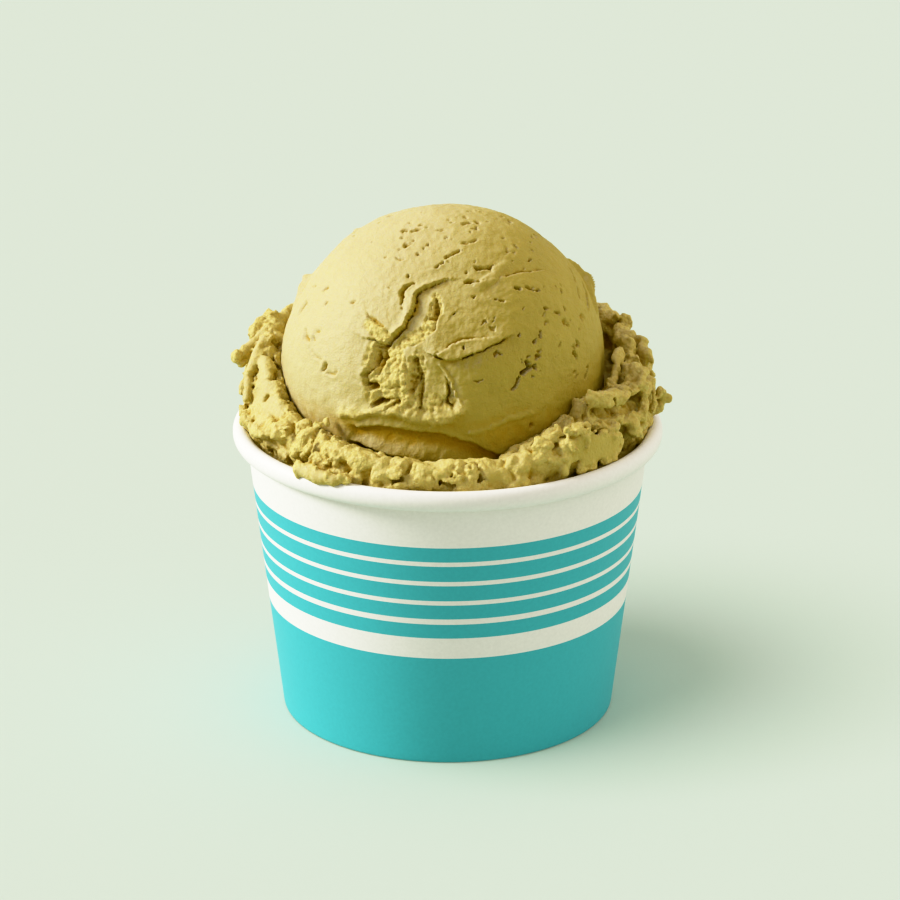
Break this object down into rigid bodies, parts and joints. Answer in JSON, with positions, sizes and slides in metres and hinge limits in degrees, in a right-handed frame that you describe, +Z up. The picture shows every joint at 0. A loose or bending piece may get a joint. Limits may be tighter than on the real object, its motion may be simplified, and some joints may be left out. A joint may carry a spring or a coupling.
{
  "type": "gelato cup",
  "caption": "Small tapered paper cup with a rolled rim, printed with stripes and filled with a rounded scoop of gelato that has a ragged collar and stands above the rim.",
  "frame": {"origin": "centre of the cup's foot, on the surface it stands on", "axes": "+Z up along the cup's axis; -Y towards the front, where the ball of gelato is torn; +X to the right as seen from the front"},
  "size_m": [0.0764, 0.075, 0.0903],
  "materials": {
    "printed_paperboard": "white coated paperboard with a satin print: teal foot and teal bands split by thin white lines",
    "plain_paperboard": "white coated paperboard, satin",
    "gelato": "pistachio gelato: dense, slightly translucent, smooth where the scoop slid and crumbly where it tore"
  },
  "bodies": {
    "root": {"cup_wall": "printed_paperboard", "cup_base": "plain_paperboard", "gelato": "gelato"}
  },
  "joints": []
}
